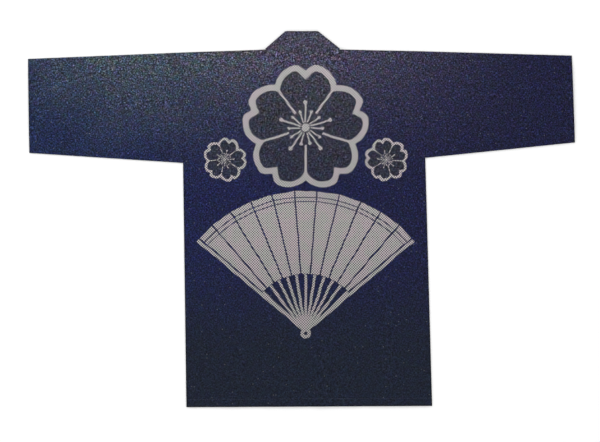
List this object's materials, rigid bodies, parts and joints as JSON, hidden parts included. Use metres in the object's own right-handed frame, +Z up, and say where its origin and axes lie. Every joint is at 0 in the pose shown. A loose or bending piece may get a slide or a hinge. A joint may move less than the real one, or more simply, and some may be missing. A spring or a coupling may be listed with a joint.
{
  "type": "happi coat",
  "caption": "Short open-fronted cotton festival coat with straight sleeves and a folded collar band, laid flat with its back up.",
  "frame": {"origin": "middle of the coat's outline as laid, on the surface that it lies on", "axes": "+X from the left sleeve to the right sleeve as seen from behind, +Y from the hem to the collar, +Z up out of the back"},
  "size_m": [1.2846, 0.8833, 0.0052],
  "materials": {
    "navy_cotton": "plain-weave cotton dyed dark navy, with a faint speckled sheen and a pale grey screened back print",
    "collar_cotton": "folded navy cotton band, stitched along its seam edge"
  },
  "bodies": {
    "root": {"back": "navy_cotton", "front_left": "navy_cotton", "front_right": "navy_cotton", "sleeve_left": "navy_cotton", "sleeve_right": "navy_cotton", "collar": "collar_cotton"}
  },
  "joints": []
}
